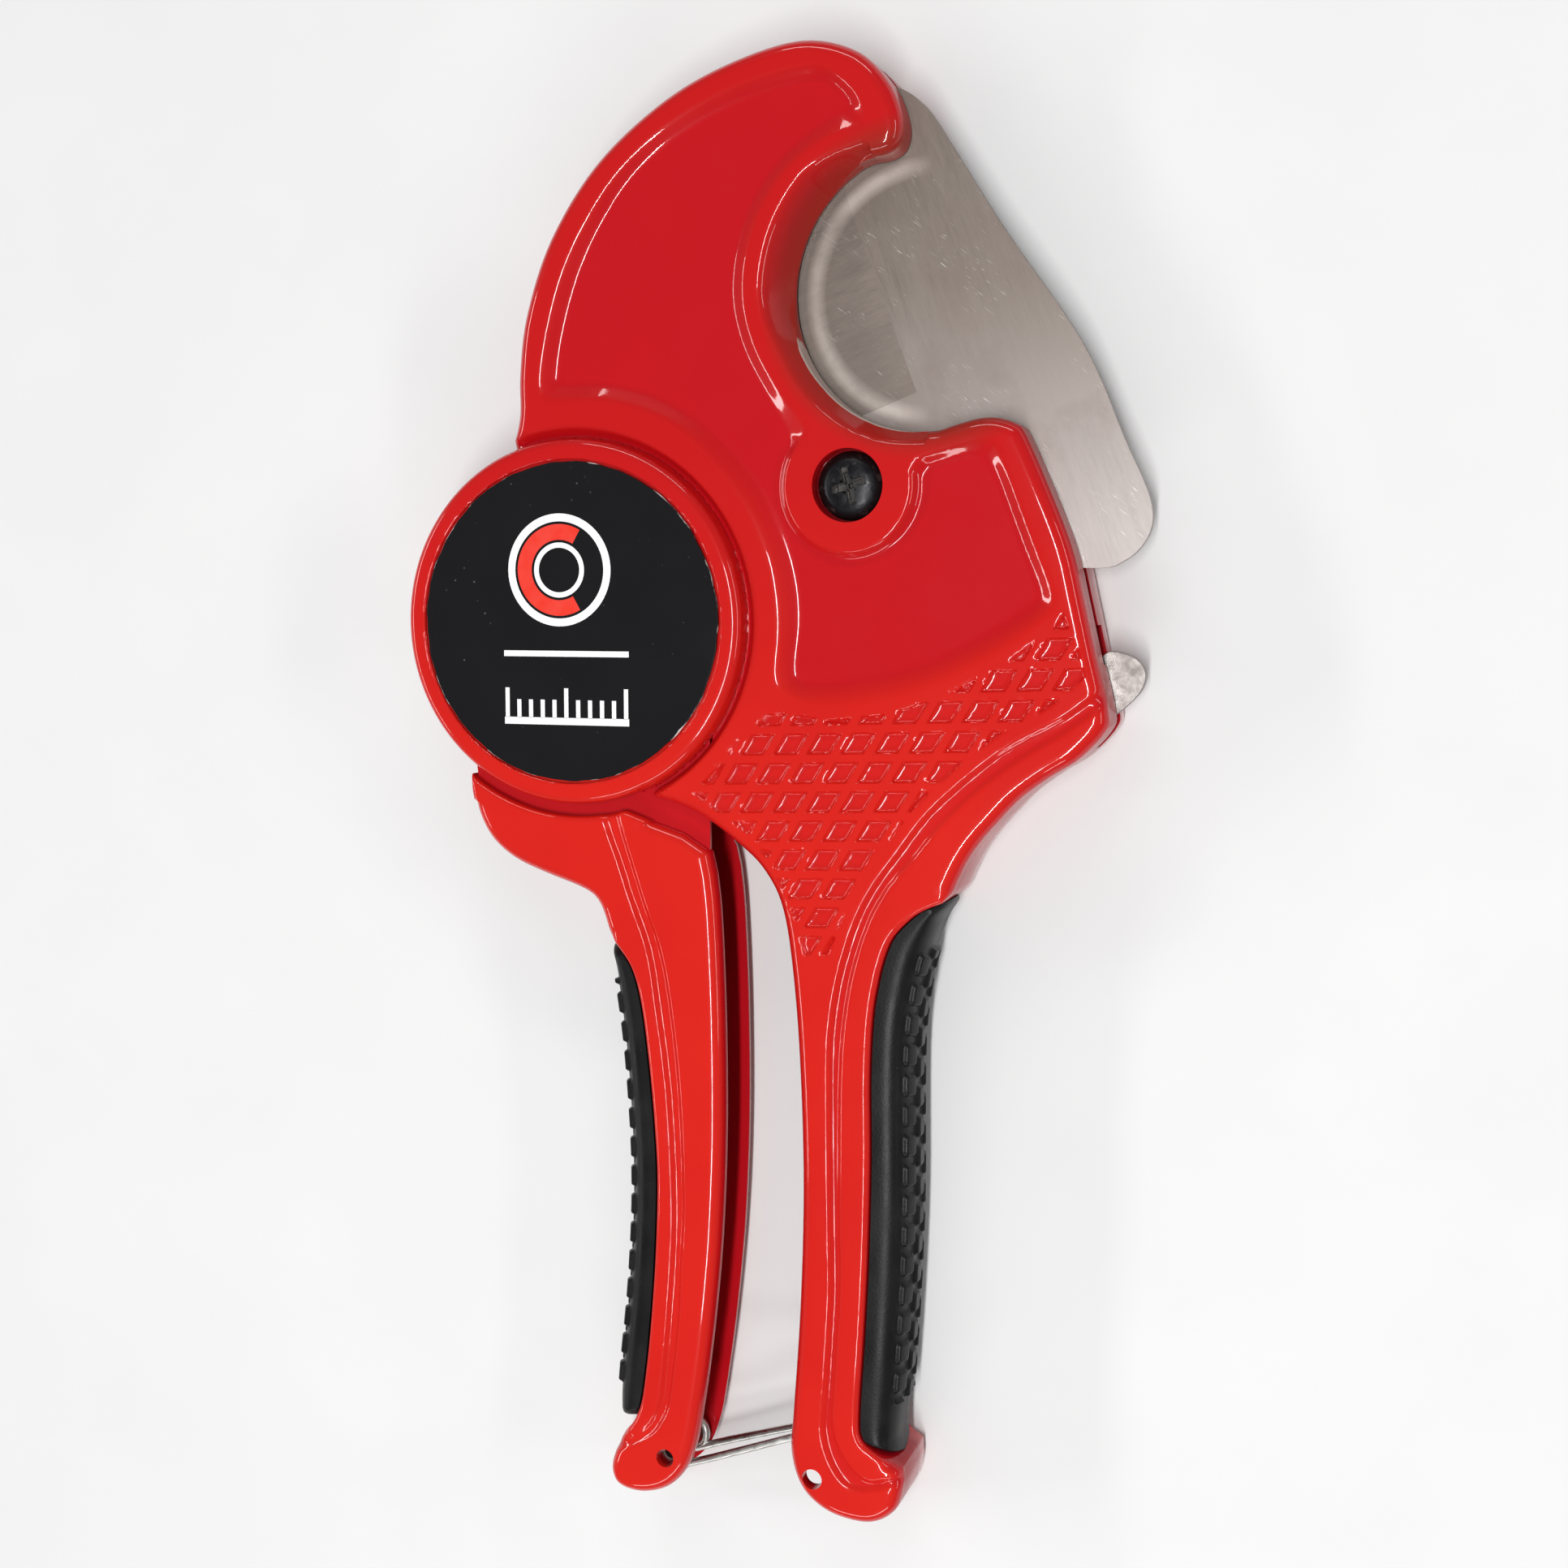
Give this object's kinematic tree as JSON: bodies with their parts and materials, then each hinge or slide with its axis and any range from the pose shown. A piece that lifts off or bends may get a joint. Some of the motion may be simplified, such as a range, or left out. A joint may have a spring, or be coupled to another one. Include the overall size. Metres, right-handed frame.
{
  "type": "ratcheting plastic pipe cutter",
  "caption": "Hand cutter for plastic pipe: hooked casting with a round jaw, hinged wedge blade driven by a ratchet, squeeze handle with rubber grips and a wire handle latch.",
  "frame": {"origin": "centre of the bounding box on the flat back of the frame, with the blade closed and the handle latched", "axes": "+Y along the tool from the handles to the hook, +X across it from the moving handle to the blade, +Z out of the labelled side, along every hinge axis"},
  "size_m": [0.1156, 0.2224, 0.0174],
  "materials": {
    "red_paint": "thick gloss red paint on cast metal",
    "rubber": "satin black moulded rubber",
    "blade_steel": "ground and brushed blade steel",
    "bright_steel": "bright bare steel",
    "black_oxide": "black oxide on steel",
    "bronze": "plain sintered bronze",
    "label_film": "black laminated label film"
  },
  "bodies": {
    "frame": {"frame_casting": "red_paint", "fixed_grip": "rubber", "blade_bushing": "bronze", "blade_pivot_nut": "black_oxide", "blade_pivot_screw": "black_oxide", "blade_pivot_washer": "bright_steel", "handle_pivot_pin": "bright_steel", "handle_return_spring": "bright_steel", "hub_label": "label_film", "pin_retaining_ring": "bright_steel", "release_lever_pin": "bright_steel", "release_lever_spring": "bright_steel"},
    "handle": {"moving_handle": "red_paint", "moving_grip": "rubber", "drive_pawl_pin": "bright_steel", "drive_pawl_spring": "bright_steel", "latch_spacer": "bright_steel"},
    "pawl": {"drive_pawl": "bright_steel"},
    "blade": {"blade": "blade_steel", "ratchet_plate": "bright_steel", "ratchet_rivet_left": "bright_steel", "ratchet_rivet_right": "bright_steel"},
    "lever": {"release_lever": "bright_steel"},
    "latch": {"latch_wire": "bright_steel"}
  },
  "joints": [
    {"name": "handle_swing", "type": "hinge", "parent": "frame", "child": "handle", "pos_m": [-0.02983, 0.02695, 0.0086], "axis": [0, 0, 1], "range_deg": [-28, 0]},
    {"name": "blade_swing", "type": "hinge", "parent": "frame", "child": "blade", "pos_m": [0.01427, 0.04715, 0.0086], "axis": [0, 0, 1], "range_deg": [-75, 0]},
    {"name": "release_lever_press", "type": "hinge", "parent": "frame", "child": "lever", "pos_m": [0.04417, 0.01545, 0.0086], "axis": [0, 0, 1], "range_deg": [0, 8], "stiffness_Nm_per_rad": 0.05, "springref_deg": -11.46},
    {"name": "drive_pawl_swing", "type": "hinge", "parent": "handle", "child": "pawl", "pos_m": [-0.01633, 0.01395, 0.0086], "axis": [0, 0, 1], "range_deg": [0, 38.1]},
    {"name": "latch_swing", "type": "hinge", "parent": "handle", "child": "latch", "pos_m": [-0.01523, -0.10445, 0.0086], "axis": [0, 0, 1], "range_deg": [-95, 0]}
  ],
  "couplings": [
    {"joint": "drive_pawl_swing", "follows": "handle_swing", "ratio": -1.36}
  ]
}
